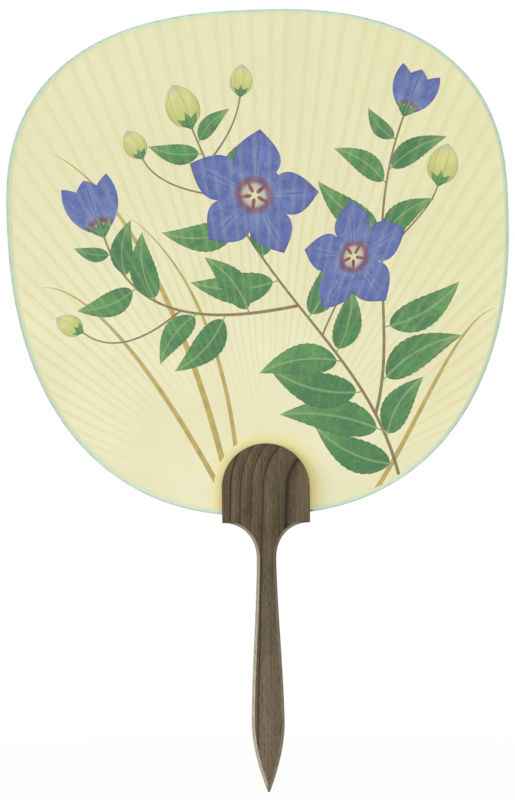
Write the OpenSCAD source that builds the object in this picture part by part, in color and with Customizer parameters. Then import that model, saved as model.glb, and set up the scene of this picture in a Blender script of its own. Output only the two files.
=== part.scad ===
// Round uchiwa fan: a paper face on fine bamboo ribs, gripped by a slotted wooden handle.
// X is the width, Y the thickness with the front towards -Y, and Z runs up along the handle.
// The origin is where the fingers hold the shaft.

/* [Face] */
// Width of the face over its binding
face_w = 240; // [200:1:280]
// Height of the face above its widest line
face_top_h = 95.8; // [80:0.1:120]
// Height of the face below its widest line
face_low_h = 146; // [120:0.5:170]
// Squareness of the upper half, where 2 is an ellipse
face_top_square = 2.48; // [2:0.01:3]
// Squareness of the lower half
face_low_square = 2.34; // [2:0.01:3]
// How far the face reaches below the point that the ribs spread from
face_foot = 1.1; // [0:0.1:3]
// Lean of the face to the left of the handle's axis, in degrees
face_lean = 1.65; // [-4:0.05:4]
// How far the ribs' spreading point lies to the right of the handle's axis
face_shift = 1.5; // [-2:0.1:2]

/* [Papers] */
// Thickness of the washi on each side of the ribs
paper_t = 0.15; // [0.1:0.01:0.3]
// Thickness of the arch-shaped base papers
base_paper_t = 0.15; // [0.1:0.01:0.3]
// Margin of the base paper that shows round the head of the handle
base_margin = 3.8; // [2:0.1:8]
// Thickness of the binding strip
binding_t = 0.15; // [0.1:0.01:0.3]
// Width of the binding strip on each side of the face
binding_w = 2.2; // [1.5:0.1:4]
// Gap between the binding's ends and the sides of the handle
binding_end_gap = 0.1; // [0.05:0.05:0.5]
// Gap between the base paper and the binding's edge
paper_gap = 0.05; // [0.05:0.05:0.5]

/* [Ribs] */
// Ribs on each side of the middle one
side_ribs = 34; // [20:1:40]
// Angle from the middle rib to the outermost, in degrees
rib_spread = 85.3; // [70:0.1:88]
// Pitch of the middle ribs as a share of the mean pitch
rib_evenness = 0.865; // [0.7:0.005:1]
// How far a rib laid by hand strays from its angle, in degrees
rib_sway = 0.3; // [0:0.05:0.4]
// Thickness of the ribs
rib_t = 0.5; // [0.3:0.05:0.8]
// Width of a rib at its foot
rib_foot_w = 0.35; // [0.3:0.01:0.4]
// Width of the longest rib at its outer end
rib_end_w = 1.4; // [0.8:0.05:1.8]
// Least gap between the feet of two neighbouring ribs
rib_gap = 0.06; // [0.05:0.01:0.2]
// Gap between a rib's outer end and the fold of the binding
rib_end_gap = 0.3; // [0.1:0.05:1]

/* [Handle head] */
// Width of the head
head_w = 42; // [34:0.5:56]
// Height of the head from its lower corners to the top of its arch
head_h = 37.9; // [30:0.1:50]
// Height of the ribs' spreading point above the lower corners
fan_point_h = 4.6; // [3.5:0.1:8]
// Thickness at the top of the arch
arch_t = 4.2; // [3:0.1:6]
// Clearance between the face and each cheek of the slot
slot_clear = 0.05; // [0.02:0.01:0.2]
// Clearance between the foot of the face and the floor of the slot
slot_floor_gap = 0.6; // [0.1:0.1:1.5]
// Height of the hollowed shoulders under the head
shoulder_h = 17.2; // [10:0.1:24]
// Width of the broken edge round the head
edge_break = 0.3; // [0.2:0.05:0.8]

/* [Handle shaft] */
// Thickness of the board that the handle is cut from
handle_t = 7; // [6:0.1:10]
// Width of the neck
neck_w = 9.3; // [8:0.1:14]
// Width of the shaft at its widest
shaft_w = 15.8; // [15:0.1:22]
// Width of the blunt end of the point
tip_w = 0.9; // [0.6:0.1:2]
// Length from the neck to the widest place
shaft_len = 78.4; // [60:0.2:100]
// Length of the point below the widest place
point_len = 33; // [20:0.5:45]
// Height of the grip above the tip of the point
grip_h = 55.4; // [45:0.1:80]
// Width of the bevel under the head's corners
corner_bevel = 1.1; // [0.5:0.1:1.5]
// Width of the bevel at the neck
neck_bevel = 1.4; // [0.8:0.1:2.2]
// Width of the bevel at the widest place
wide_bevel = 1.5; // [1:0.1:3.5]
// Depth of the bevels into the board's thickness
bevel_d = 1.5; // [0.8:0.1:2]

/* [Hidden] */
// Heights above the origin, from the tip up to the spreading point of the ribs
tip_z = -grip_h;
wide_z = tip_z + point_len;
neck_z = wide_z + shaft_len;
corner_z = neck_z + shoulder_h;
fan_z = corner_z + fan_point_h;
arch_r = head_w / 2;
arch_z = corner_z + head_h - arch_r;
slot_floor_z = fan_z - face_foot - slot_floor_gap;
// The widest line of the face above the spreading point
face_rise = face_low_h - face_foot;

// Layers of the face, counted outwards from the middle of the ribs
ribs_y = rib_t / 2;
papers_y = ribs_y + paper_t;
base_y = papers_y + base_paper_t;
strip_y = papers_y + binding_t;
slot_w = 2 * (base_y + slot_clear);

// Curves of the point, the shaft and the shoulders
point_power = 1.75;
smooth_share = 0.7;
shoulder_power = 2.15;
// Most of the half-width that the bevels take where they meet at the point
point_bevel_share = 0.75;

// Steps along each kind of curve
face_steps = 24;
arch_steps = 16;
shoulder_steps = 9;
shaft_steps = 10;
point_steps = 8;
// Last angle of the arch, short of its top so that a narrow facet closes it
arch_end = 88;
// How far cutting shapes run past what they cut
over = 1;

// Degrees and lengths of the ribs
rib_step_mid = rib_evenness * rib_spread / side_ribs;
sway_turn = 137.5;
sway_gap = 2 * rib_sway;
rib_foot_r = (rib_foot_w + rib_gap) / (2 * sin((rib_step_mid - sway_gap) / 2));
rib_reach = face_rise + face_top_h;

function rib_node(i) = str("rib_pair_", i < 10 ? "0" : "", i);
RIB_NODES = [for (i = [1:side_ribs]) rib_node(i)];

// Angle of rib i from the face's axis, where a negative i lies to the left
function rib_angle(i) =
    let (s = i / side_ribs)
    rib_spread * (rib_evenness * s + (1 - rib_evenness) * pow(s, 3)) + rib_sway * sin(sway_turn * i);

// A power that keeps the sign, for the two halves of the face's curve
function signed_pow(v, p) = sign(v) * pow(abs(v), p);

// One point of the face's edge at angle a, drawn in by inset
function face_point(a, inset) =
    let (upper = sin(a) >= 0)
    let (power = 2 / (upper ? face_top_square : face_low_square))
    let (half_h = (upper ? face_top_h : face_low_h) - inset)
    [(face_w / 2 - inset) * signed_pow(cos(a), power), face_rise + half_h * signed_pow(sin(a), power)];

// Share of the change from the widest place, at 0, to the neck, at 1
function shaft_blend(v) = smooth_share * (3 * v * v - 2 * pow(v, 3)) + (1 - smooth_share) * v;

// Right-hand edge of the handle from the tip up, as [x, z, bevel width]
function point_edge() = [
    for (k = [0:point_steps - 1])
        let (u = 1 - k / point_steps)
        let (x = tip_w / 2 + (shaft_w - tip_w) / 2 * (1 - pow(u, point_power)))
        [x, wide_z - point_len * u, min(wide_bevel, x * point_bevel_share)]
];

function shaft_edge() = [
    for (k = [0:shaft_steps - 1])
        let (v = k / shaft_steps)
        let (share = shaft_blend(v))
        [
            (shaft_w + (neck_w - shaft_w) * share) / 2,
            wide_z + shaft_len * v,
            wide_bevel + (neck_bevel - wide_bevel) * share
        ]
];

function shoulder_edge() = [
    for (k = [0:shoulder_steps])
        let (a = 90 * k / shoulder_steps)
        let (power = 2 / shoulder_power)
        [
            head_w / 2 - (head_w - neck_w) / 2 * pow(cos(a), power),
            neck_z + shoulder_h * pow(sin(a), power),
            neck_bevel + (corner_bevel - neck_bevel) * k / shoulder_steps
        ]
];

function arch_edge() = [
    for (k = [0:arch_steps])
        let (a = arch_end * k / arch_steps)
        [arch_r * cos(a), arch_z + arch_r * sin(a), edge_break]
];

// Outward direction of the edge between two of its points
function edge_normal(p, q) =
    let (d = [q[0] - p[0], q[1] - p[1]])
    [d[1], -d[0]] / norm(d);

// Point k of the edge drawn in by the bevel, square to the edge
function drawn_in(edge, k) =
    let (before = edge[max(k - 1, 0)])
    let (after = edge[min(k + 1, len(edge) - 1)])
    let (n = edge_normal(before, after))
    [edge[k][0] - edge[k][2] * n[0], edge[k][1] - edge[k][2] * n[1]];

// Half the board's thickness at height z, thinned over the arch
function half_t(z) =
    let (s = max(0, (z - arch_z) / arch_r))
    (handle_t - (handle_t - arch_t) * s * s) / 2;

// A flat sheet of the given thickness, its outline drawn as X and Z
module sheet(from_y, thickness) {
    translate([0, from_y + thickness, 0])
    rotate([90, 0, 0])
    linear_extrude(thickness)
    children();
}

// The face's own axes, at the spreading point and leaned
module on_face() {
    translate([face_shift, fan_z]) rotate(face_lean) children();
}

module face_outline(inset) {
    polygon([for (k = [0:4 * face_steps - 1]) face_point(90 * k / face_steps, inset)]);
}

// The handle's solid before its flats and its slot are cut, front and back a little too thick
module handle_blank() {
    lower = concat(point_edge(), shaft_edge(), shoulder_edge());
    upper = arch_edge();
    edge = concat(lower, upper);
    corner = len(lower) - 1;
    faces_in = [
        for (k = [0:len(edge) - 1])
            k == corner
                ? [edge[k][0] - edge_break, edge[k][1] + corner_bevel]
                : k < corner ? drawn_in(lower, k) : drawn_in(upper, k - corner - 1)
    ];
    rings = [
        for (k = [0:len(edge) - 1])
            let (p = edge[k])
            let (f = faces_in[k])
            let (d = k <= corner ? bevel_d : edge_break)
            let (t = half_t(f[1]))
            let (side = half_t(p[1]) - d)
            [
                [-f[0], -t, f[1]], [f[0], -t, f[1]], [p[0], -side, p[1]], [p[0], side, p[1]],
                [f[0], t, f[1]], [-f[0], t, f[1]], [-p[0], side, p[1]], [-p[0], -side, p[1]]
            ]
    ];
    n = 8;
    last = (len(rings) - 1) * n;
    walls = [
        for (k = [0:len(rings) - 2], j = [0:n - 1])
            let (a = k * n + j)
            let (b = k * n + (j + 1) % n)
            each [[a, a + n, b + n], [a, b + n, b]]
    ];
    ends = [[for (j = [0:n - 1]) j], [for (j = [0:n - 1]) last + n - 1 - j]];
    polyhedron(points = [for (r = rings) each r], faces = concat(walls, ends), convexity = 6);
}

// The cedar board: arched head with its saw slot, hollowed shoulders and bevelled shaft
module handle() {
    color("#675a45")
    difference() {
        handle_blank();
        translate([-head_w / 2 - over, -slot_w / 2, slot_floor_z])
        cube([head_w + 2 * over, slot_w, arch_z + arch_r + over - slot_floor_z]);
    }
}

// One bamboo rib, tapered towards its foot and cut off along the edge of the face
module rib(i) {
    color("#d9c58a")
    sheet(-rib_t / 2, rib_t)
    on_face()
    intersection() {
        face_outline(binding_t + rib_end_gap);
        rotate(-rib_angle(i))
        polygon([
            [-rib_foot_w / 2, rib_foot_r], [rib_foot_w / 2, rib_foot_r],
            [rib_end_w / 2, rib_reach], [-rib_end_w / 2, rib_reach]
        ]);
    }
}

// Two ribs at the same place on either side of the face's axis
module rib_pair(i) {
    rib(-i);
    rib(i);
}

module rib_middle() {
    rib(0);
}

// Washi pasted over one side of the ribs
module face_paper(from_y) {
    sheet(from_y, paper_t) on_face() face_outline(binding_t);
}

module front_paper() {
    color("#e9e4be") face_paper(-papers_y);
}

module back_paper() {
    color("#e6e0b8") face_paper(ribs_y);
}

// Paper strip folded over the edge of the face, its ends stopping at the handle
module rim_binding() {
    end_x = head_w / 2 + binding_end_gap;
    color("#b9dccb")
    difference() {
        sheet(-strip_y, 2 * strip_y) on_face() face_outline(0);
        sheet(-papers_y, 2 * papers_y) on_face() face_outline(binding_t);
        sheet(-strip_y - over, 2 * (strip_y + over)) on_face() face_outline(binding_w);
        translate([-end_x, -strip_y - over, corner_z - over])
        cube([2 * end_x, 2 * (strip_y + over), fan_point_h + arch_r]);
    }
}

// Arch-shaped paper pasted over the foot of the face and gripped by the cheeks
module base_paper(from_y) {
    r = arch_r + base_margin;
    sheet(from_y, base_paper_t)
    intersection() {
        on_face() face_outline(binding_w + paper_gap);
        union() {
            translate([0, arch_z]) circle(r, $fn = 96);
            translate([-r, corner_z]) square([2 * r, arch_z - corner_z]);
        }
    }
}

module front_base_paper() {
    color("#eedfa0") base_paper(-base_y);
}

module back_base_paper() {
    color("#eedfa0") base_paper(papers_y);
}

handle();
rib_middle();
for (i = [1:side_ribs])
    rib_pair(i);
front_paper();
back_paper();
rim_binding();
front_base_paper();
back_base_paper();
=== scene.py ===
import bisect
import itertools
import math

import bpy
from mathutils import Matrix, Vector, geometry


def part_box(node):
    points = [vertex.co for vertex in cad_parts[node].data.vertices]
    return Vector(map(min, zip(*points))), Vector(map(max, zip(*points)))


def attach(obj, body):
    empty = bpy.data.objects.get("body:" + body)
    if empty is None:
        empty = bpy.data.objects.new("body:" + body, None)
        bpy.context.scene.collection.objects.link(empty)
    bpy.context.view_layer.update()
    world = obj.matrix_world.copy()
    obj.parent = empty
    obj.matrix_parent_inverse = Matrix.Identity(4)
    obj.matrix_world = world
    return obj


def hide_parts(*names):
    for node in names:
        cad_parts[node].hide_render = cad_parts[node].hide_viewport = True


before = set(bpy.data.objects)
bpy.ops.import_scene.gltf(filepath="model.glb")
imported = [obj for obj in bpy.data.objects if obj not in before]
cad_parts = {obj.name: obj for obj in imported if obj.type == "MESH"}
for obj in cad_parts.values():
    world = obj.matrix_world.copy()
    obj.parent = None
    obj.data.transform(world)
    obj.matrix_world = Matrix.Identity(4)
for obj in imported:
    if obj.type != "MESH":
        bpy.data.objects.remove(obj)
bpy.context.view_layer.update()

# Ribs: thin strips split from bamboo, shaved narrower towards the foot, and laid by hand
# like rays from one point. Paste holds them between the papers. Their feet lie in the slot
# of the handle, and their outer ends stop under the binding.
MM = 0.001
SIDE_RIBS = 34
RIB_SPREAD = 85.3
RIB_EVENNESS = 0.865
RIB_SWAY = 0.3
SWAY_TURN = 137.5
FIBRE_RELIEF = 0.05 * MM


def rib_angle(i):
    """The angle of rib i from the middle one, in radians, to the right where i is positive."""
    s = i / SIDE_RIBS
    law = RIB_SPREAD * (RIB_EVENNESS * s + (1 - RIB_EVENNESS) * s ** 3)
    return math.radians(law + RIB_SWAY * math.sin(math.radians(SWAY_TURN * i)))


class Wire:
    """A socket in a node tree. Arithmetic on wires adds Math nodes, and node() adds any other."""

    def __init__(self, tree, socket=None):
        self.tree = tree
        self.socket = socket

    def node(self, kind, inputs=None, out=0, **settings):
        """Adds a node with its settings and what goes into it, and gives one of its sockets."""
        made = self.tree.nodes.new(kind)
        for name, value in settings.items():
            if name == "stops":
                elements = made.color_ramp.elements
                while len(elements) < len(value):
                    elements.new(0.5)
                for element, (place, share) in zip(elements, value):
                    element.position = place
                    element.color = (share, share, share, 1.0)
            else:
                setattr(made, name, value)
        for key, value in (inputs or {}).items():
            if isinstance(value, Wire):
                self.tree.links.new(value.socket, made.inputs[key])
            else:
                made.inputs[key].default_value = value
        return Wire(self.tree, made.outputs[out] if made.outputs else None)

    def outs(self, *names):
        """Several sockets of the same node."""
        return [Wire(self.tree, self.socket.node.outputs[name]) for name in names]

    def math(self, operation, *values):
        return self.node("ShaderNodeMath", dict(enumerate(values)), operation=operation)

    def vector(self, operation, *values):
        return self.node("ShaderNodeVectorMath", dict(enumerate(values)), operation=operation)

    def __add__(self, other):
        return self.math("ADD", self, other)

    def __radd__(self, other):
        return self.math("ADD", other, self)

    def __sub__(self, other):
        return self.math("SUBTRACT", self, other)

    def __rsub__(self, other):
        return self.math("SUBTRACT", other, self)

    def __mul__(self, other):
        return self.math("MULTIPLY", self, other)

    def __rmul__(self, other):
        return self.math("MULTIPLY", other, self)

    def __truediv__(self, other):
        return self.math("DIVIDE", self, other)

    def __abs__(self):
        return self.math("ABSOLUTE", self)

    def parts(self):
        """The three numbers of a vector."""
        return self.node("ShaderNodeSeparateXYZ", {0: self}).outs(0, 1, 2)

    def step(self, low, high):
        """Rises smoothly from 0 at low to 1 at high."""
        limits = {0: self, 1: low, 2: high, 3: 0.0, 4: 1.0}
        return self.node("ShaderNodeMapRange", limits, interpolation_type="SMOOTHSTEP", clamp=True)

    def ramp(self, stops):
        """Reads a number off a short table of places, 0 to 1, and their numbers."""
        return self.node("ShaderNodeValToRGB", {0: self}, stops=stops)

    def read(self, name, out="Fac"):
        """What the mesh carries under a name."""
        return self.node("ShaderNodeAttribute", out=out, attribute_name=name)


def paint(*seen):
    """A colour as it looks, red, green and blue from 0 to 255, as the linear colour that nodes take."""
    return *(((c / 255 + 0.055) / 1.055) ** 2.4 for c in seen), 1.0


def blend(factor, first, second):
    """Mixes two colours: the factor is the share of the second."""
    return factor.node("ShaderNodeMix", {0: factor, 6: first, 7: second}, 2, data_type="RGBA")


def stretched(place, across, along, detail=4, rough=0.55):
    """Noise on X, Y and Z places whose grain is across per metre in X and Y, and along in Z."""
    inputs = {"Scale": 1.0, "Detail": detail, "Roughness": rough}
    inputs["Vector"] = place.vector("MULTIPLY", place, (across, across, along))
    return place.node("ShaderNodeTexNoise", inputs)


def new_material(name):
    """A material, and the place on the object, from which its nodes start."""
    made = bpy.data.materials.new(name)
    made.use_nodes = True
    made.node_tree.nodes.clear()
    return made, Wire(made.node_tree).node("ShaderNodeTexCoord", out="Object")


def surface(colour, roughness, height, depth, specular=0.3, sheen=0.0):
    """Ends a material: its colour, its roughness and the fine relief of its surface."""
    relief = {"Strength": 1.0, "Distance": depth, "Height": height}
    inputs = {"Base Color": colour, "Roughness": roughness, "Specular IOR Level": specular}
    inputs.update({"Sheen Weight": sheen, "Normal": colour.node("ShaderNodeBump", relief)})
    shader = colour.node("ShaderNodeBsdfPrincipled", inputs)
    colour.node("ShaderNodeOutputMaterial", {"Surface": shader})


def bamboo():
    made, place = new_material("bamboo_strip")
    fibres = stretched(place, 2400, 60)
    colour = blend(fibres.step(0.3, 0.7), paint(205, 178, 112), paint(226, 205, 150))
    surface(colour, 0.55, fibres, FIBRE_RELIEF)
    return made


bamboo_strip = bamboo()
for name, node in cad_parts.items():
    if name.startswith("rib_"):
        node.data.materials.clear()
        node.data.materials.append(bamboo_strip)

# The edge of the face: two half curves cut with one blade round the pasted sheets, a little
# squarer than an ellipse. The face leans slightly to the left, as it was set in the handle.
HEAD_H = 37.9
FAN_POINT_H = 4.6
FACE_W = 240.0
FACE_TOP_H = 95.8
FACE_LOW_H = 146.0
FACE_TOP_SQUARE = 2.48
FACE_LOW_SQUARE = 2.34
FACE_FOOT = 1.1
FACE_LEAN = math.radians(1.65)
FACE_SHIFT = 1.5
FACE_RISE = FACE_LOW_H - FACE_FOOT
BEYOND_FACE = 300.0
HALVINGS = 40
handle_low, handle_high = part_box("handle")
fan_z = handle_high.z / MM - HEAD_H + FAN_POINT_H


def half_curve(up):
    """The height of the upper or the lower half curve, and how square it is."""
    return (FACE_TOP_H, FACE_TOP_SQUARE) if up >= 0 else (FACE_LOW_H, FACE_LOW_SQUARE)


def edge_point(angle, inset):
    """A point of the edge, in millimetres from the ribs' common point, at an angle round the face."""
    across, up = math.cos(angle), math.sin(angle)
    tall, square = half_curve(up)
    x = math.copysign(abs(across) ** (2 / square), across)
    z = math.copysign(abs(up) ** (2 / square), up)
    return (FACE_W / 2 - inset) * x, FACE_RISE + (tall - inset) * z


def inside_edge(x, z):
    """Whether a place, in millimetres from the ribs' common point, lies on the papers."""
    tall, square = half_curve(z - FACE_RISE)
    across = abs(x) / (FACE_W / 2 - BINDING_T)
    return across ** square + abs((z - FACE_RISE) / (tall - BINDING_T)) ** square < 1


def last_inside(far, inside):
    """The last number from 0 to far that is still inside, found by halving."""
    near = 0.0
    for _ in range(HALVINGS):
        middle = (near + far) / 2
        near, far = (middle, far) if inside(middle) else (near, middle)
    return near


def edge_reach(angle):
    """How far the papers reach from the ribs' common point along a ray, in millimetres."""
    x, z = math.sin(angle), math.cos(angle)
    return last_inside(BEYOND_FACE, lambda r: inside_edge(r * x, r * z))


def on_face(x, z, y):
    """A place on the leaning face, given in millimetres, as a point of the model in metres."""
    turned_x = FACE_SHIFT + x * math.cos(FACE_LEAN) - z * math.sin(FACE_LEAN)
    turned_z = fan_z + x * math.sin(FACE_LEAN) + z * math.cos(FACE_LEAN)
    return turned_x * MM, y * MM, turned_z * MM


# Back paper: a plain sheet of thick washi pasted over the ribs and pressed down along each
# one with a bone tool, so that every rib stands out as a low ridge.
PAPER_T = 0.15
RIB_T = 0.5
PAPER_TOP = RIB_T / 2 + PAPER_T
RIDGE_H = 0.08
BINDING_T = 0.15
EDGE_STEPS = 480
LINE_START = 15.0
LINE_PAST_EDGE = 0.5
LINE_GAP = 2.0
CUT_PRECISION = 1e-5
head_w = (handle_high.x - handle_low.x) / MM
corner_z = handle_high.z / MM - HEAD_H
arch_z = handle_high.z / MM - head_w / 2
# Shares of the height of a ridge, by the share of the way from its rib to the next one
RIDGE = [
    (0, 1), (0.045, 0.98), (0.085, 0.88), (0.13, 0.67),
    (0.185, 0.38), (0.25, 0.16), (0.34, 0.03), (0.5, 0),
]
# Shares of the full depth between ridges, by the distance from the ribs' common point
DEPTH = [(0, 0), (24, 0), (50, 0.2), (80, 0.55), (120, 1), (400, 1)]
RIB_ANGLES = [rib_angle(i) for i in range(-SIDE_RIBS, SIDE_RIBS + 1)]


def on_table(table, value):
    """Reads a value between the rows of a short table."""
    k = min(max(bisect.bisect_right([row[0] for row in table], value), 1), len(table) - 1)
    (x0, y0), (x1, y1) = table[k - 1], table[k]
    return y0 + (y1 - y0) * min(max((value - x0) / (x1 - x0), 0.0), 1.0)


def rib_share(x, z):
    """The share of the way from the nearest rib to its neighbour, 0 to 0.5."""
    angle = math.atan2(x, z)
    k = min(max(bisect.bisect_right(RIB_ANGLES, angle), 1), len(RIB_ANGLES) - 1)
    before, after = RIB_ANGLES[k - 1], RIB_ANGLES[k]
    share = (angle - before) / (after - before)
    return min(abs(share), abs(1 - share), 0.5)


def paper_height(x, z):
    """How far the outer side of a paper stands from the middle of the ribs, in millimetres."""
    valley = 1 - on_table(RIDGE, rib_share(x, z))
    return PAPER_TOP - RIDGE_H * valley * on_table(DEPTH, math.hypot(x, z))


def rib_lines():
    """Lines along the ribs and between them, each as a list of places. The sheet is cut along them."""
    shares = [s for s, _ in RIDGE] + [1 - s for s, _ in reversed(RIDGE[1:-1])]
    angles = [a + (b - a) * s for a, b in zip(RIB_ANGLES, RIB_ANGLES[1:]) for s in shares] + RIB_ANGLES[-1:]
    lines = []
    for angle in angles:
        reach = edge_reach(angle) + LINE_PAST_EDGE
        radii = [LINE_START] + [r for r, _ in DEPTH[1:-1] if r < reach - LINE_GAP] + [reach]
        lines.append([(r * math.sin(angle), r * math.cos(angle)) for r in radii])
    return lines


def leftward(shape):
    """The same outline, run so that its inside lies on the left."""
    twice = sum(a[0] * b[1] - b[0] * a[1] for a, b in zip(shape, shape[1:] + shape[:1]))
    return shape if twice > 0 else shape[::-1]


def placed(name, data):
    """A new object in the scene."""
    made = bpy.data.objects.new(name, data)
    bpy.context.scene.collection.objects.link(made)
    return made


def note(mesh, name, values):
    """Writes a number on each point of a mesh, under a name that its material reads."""
    mesh.attributes.new(name, "FLOAT", "POINT").data.foreach_set("value", values)


def pressed_sheet(name, outline, side, lift, paints, motifs=()):
    """A sheet over the ribs on one side, cut along its outline and along each painted shape."""
    points, edges, faces = [], [], []
    for line in rib_lines():
        first = len(points)
        points += line
        edges += [(first + k, first + k + 1) for k in range(len(line) - 1)]
    for shape in [outline] + [painted["outline"] for painted in motifs]:
        first = len(points)
        points += leftward(shape)
        faces.append(list(range(first, first + len(shape))))
    cut = geometry.delaunay_2d_cdt([Vector(p) for p in points], edges, faces, 0, CUT_PRECISION, True)
    places, tris, owners = cut[0], cut[2], cut[5]
    kept = [k for k in range(len(tris)) if 0 in owners[k]]
    used = sorted({v for k in kept for v in tris[k]})
    number = {v: n for n, v in enumerate(used)}
    flat = [(places[v].x, places[v].y) for v in used]
    heights = [paper_height(x, z) + lift for x, z in flat]
    outer = [on_face(x, z, side * h) for (x, z), h in zip(flat, heights)]
    inner = [on_face(x, z, side * (h - PAPER_T)) for (x, z), h in zip(flat, heights)]
    # Seen from outside, the corners of a face run to the left, so they swap on the back
    order = (0, 1, 2) if side < 0 else (0, 2, 1)
    top = [tuple(number[tris[k][n]] for n in order) for k in kept]
    rim = dict.fromkeys(edge for a, b, c in top for edge in ((a, b), (b, c), (c, a)))
    count = len(used)
    bottom = [(c + count, b + count, a + count) for a, b, c in top]
    wall = [(b, a, a + count, b + count) for a, b in rim if (b, a) not in rim]
    mesh = bpy.data.meshes.new(name)
    mesh.from_pydata(outer + inner, [], top + bottom + wall)
    for made in paints:
        mesh.materials.append(made)
    note(mesh, "rib_share", [rib_share(x, z) for x, z in flat] * 2)
    note(mesh, "reach", [math.hypot(x, z) for x, z in flat] * 2)
    spot = mesh.attributes.new("spot", "FLOAT_VECTOR", "CORNER")
    tone = mesh.attributes.new("tone", "FLOAT", "FACE")
    for n, k in enumerate(kept):
        owner = max(owners[k])
        if owner == 0:
            continue
        painted = motifs[owner - 1]
        face = mesh.polygons[n]
        face.material_index = painted["paint"]
        tone.data[n].value = painted["tone"]
        (ox, oz), (ux, uz), (vx, vz), bend = painted["frame"]
        for corner in face.loop_indices:
            x, z = flat[mesh.loops[corner].vertex_index]
            dx, dz = x - ox, z - oz
            spot.data[corner].vector = (dx * ux + dz * uz, dx * vx + dz * vz, bend)
    mesh.validate()
    mesh.update()
    return placed(name, mesh)


def beyond_head(place):
    """How far a point lies outside the arched head of the handle, in metres."""
    x, _, z = place.parts()
    above = place.math("MAXIMUM", z - arch_z * MM, 0.0)
    return place.math("SQRT", x * x + above * above) - head_w / 2 * MM


def coats(colour, *layers):
    """Lays colours over the first one in turn, each with its own strength."""
    for strength, shade in layers:
        colour = blend(strength, colour, paint(*shade))
    return colour


def washi_ground(place):
    """The colour, the fibres and the rib lines of bare washi, yellower where paste has soaked in."""
    x, _, z = place.parts()
    clouds = stretched(place, 22, 22, 3)
    fibres = stretched(place, 900, 260, 5, 0.7)
    cross_fibres = stretched(place, 240, 1000, 5, 0.7)
    felt = fibres * 0.5 + cross_fibres * 0.5
    wobble = clouds * 0.05 - 0.025
    line = (place.read("rib_share") + wobble).step(0.3, 0) * place.read("reach").step(35, 120)
    spread = x.step(0, 18 * MM) * (2.5 * MM)
    soaked = (beyond_head(place) - spread + (clouds - 0.5) * (3 * MM)).step(8 * MM, 3 * MM)
    ground = coats(
        blend(clouds.step(0.3, 0.7), paint(231, 226, 184), paint(237, 233, 195)),
        # Painted shade: the paper darker towards the top; towards the right it is yellower
        (z.step(130 * MM, 260 * MM) * 0.5, (224, 219, 178)),
        (x.step(0, 110 * MM) * 0.4, (234, 228, 172)),
        (felt.step(0.35, 0.7) * 0.35, (240, 237, 205)),
        (line * 0.72, (223, 220, 172)),
        (soaked * 0.6, (240, 230, 174)),
    )
    return ground, felt, line


def plain_washi():
    made, place = new_material("plain_washi")
    ground, felt, _ = washi_ground(place)
    surface(ground, 0.85, felt, FIBRE_RELIEF, 0.2, 0.1)
    return made


washi = plain_washi()
paper_outline = [edge_point(2 * math.pi * k / EDGE_STEPS, BINDING_T) for k in range(EDGE_STEPS)]
back_paper = pressed_sheet("back_paper_sheet", paper_outline, 1, 0.0, [washi])
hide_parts("back_paper")
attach(back_paper, "root")

# Front paper: the same washi, painted before it was pasted on. Mineral colours lie matt in
# its fibres: bellflowers on three stems, cut off where the binding and the base paper go.
WASHI, PETAL, LEAF, STEM, BUD, HEART, ANTHER, GRASS = range(8)
BRUSH_STEPS = 30
LEAF_STEPS = 72
LOBE_STEPS = 12
BUD_STEPS = 14
LEAF_STALK = 0.07
LEAF_FULL = 0.68
LEAF_TOOTH = 0.035
LOBE_HALF = math.radians(36)
NOTCH = 0.5


def turned(x, z, angle):
    return x * math.cos(angle) - z * math.sin(angle), x * math.sin(angle) + z * math.cos(angle)


def curve_point(path, t):
    """A point on a curve through four handles, and the direction there."""
    s = 1 - t
    weights = (s ** 3, 3 * s * s * t, 3 * s * t * t, t ** 3)
    slopes = (-3 * s * s, 3 * s * s - 6 * s * t, 6 * s * t - 3 * t * t, 3 * t * t)
    x, z = (sum(w * p[k] for w, p in zip(weights, path)) for k in (0, 1))
    dx, dz = (sum(w * p[k] for w, p in zip(slopes, path)) for k in (0, 1))
    return (x, z), math.atan2(dz, dx)


def curve_points(path, steps):
    return [curve_point(path, k / steps)[0] for k in range(steps + 1)]


def motif(paint_index, outline, origin, local, tone, bend=0.0):
    """A painted shape. local turns a step on the paper into shares along and across the shape."""
    (ux, vx), (uz, vz) = local(1, 0), local(0, 1)
    frame_here = (origin, (ux, uz), (vx, vz), bend)
    return {"paint": paint_index, "outline": outline, "frame": frame_here, "tone": tone}


def shares(heading, length, width):
    """Measures steps along a heading by a length, and across it by a width."""
    def local(x, z):
        a, b = turned(x, z, -heading)
        return a / length, b / width

    return local


def moved(outline, base, heading):
    """An outline turned to a heading and set down on the paper."""
    spun = [turned(x, z, heading) for x, z in outline]
    return [(base[0] + x, base[1] + z) for x, z in spun]


def mirrored(side):
    """Closes a side that runs from the base to the tip with its mirror image."""
    return side + [(x, -z) for x, z in side[-2:0:-1]]


def brush_line(path, width_at, paint_index, tone):
    """A line drawn with the point of the brush."""
    left, right = [], []
    for k in range(BRUSH_STEPS + 1):
        (x, z), heading = curve_point(path, k / BRUSH_STEPS)
        dx, dz = turned(0, width_at(k / BRUSH_STEPS) / 2, heading)
        left.append((x + dx, z + dz))
        right.append((x - dx, z - dz))
    return motif(paint_index, left + right[::-1], path[0], shares(0, 1, 1), tone)


def stem(path, thick, thin):
    return brush_line(path, lambda t: thick + (thin - thick) * t, STEM, 0.5)


def grass(path, width):
    """A long dry blade of grass, drawn out to a fine end."""
    return brush_line(path, lambda t: width * (1.02 - t ** 2), GRASS, 0.5)


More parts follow.
